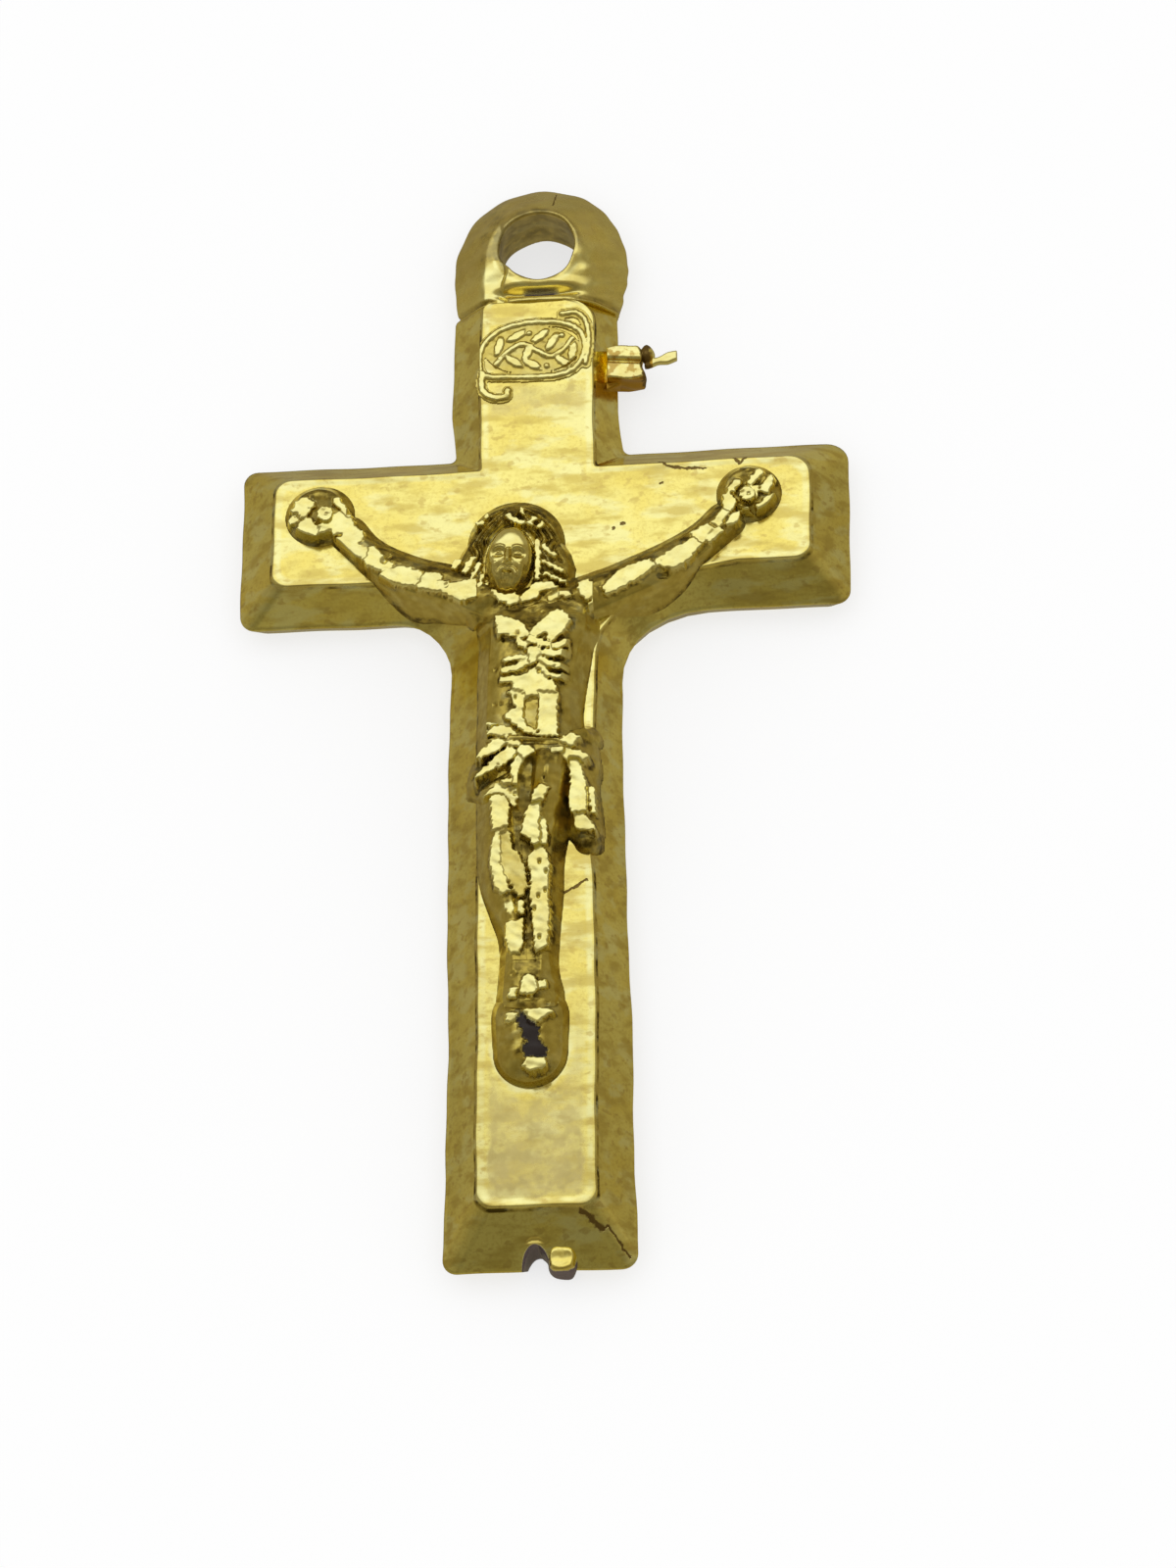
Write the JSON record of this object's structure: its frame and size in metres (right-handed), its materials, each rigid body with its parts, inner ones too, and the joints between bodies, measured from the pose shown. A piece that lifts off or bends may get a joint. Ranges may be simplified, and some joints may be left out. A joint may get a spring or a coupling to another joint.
{
  "type": "crucifix pendant",
  "caption": "Small moulded crucifix pendant: bevelled cross with a relief figure, a blank title scroll and a hanging eye.",
  "frame": {"origin": "middle of the outline, on the flat back that the pendant lies on", "axes": "+Z out of the face, +Y from the foot to the hanging eye, +X to the viewer's right"},
  "size_m": [0.022, 0.0428, 0.004],
  "materials": {
    "gold_plating": "polystyrene with a bright gold metallised coat, mirror smooth on the flats and lightly pitted in the relief",
    "gate_remnant": "torn plastic at the broken gates, partly covered by the gold coat and bare amber to purple-grey at the breaks"
  },
  "bodies": {
    "root": {"cross_body": "gold_plating", "hanging_eye": "gold_plating", "title_scroll": "gold_plating", "head": "gold_plating", "torso": "gold_plating", "right_arm": "gold_plating", "left_arm": "gold_plating", "loincloth": "gold_plating", "right_leg": "gold_plating", "left_leg": "gold_plating", "feet": "gold_plating", "foot_rest": "gold_plating", "hand_nails": "gold_plating", "side_gate": "gate_remnant", "foot_gate": "gate_remnant"}
  },
  "joints": []
}
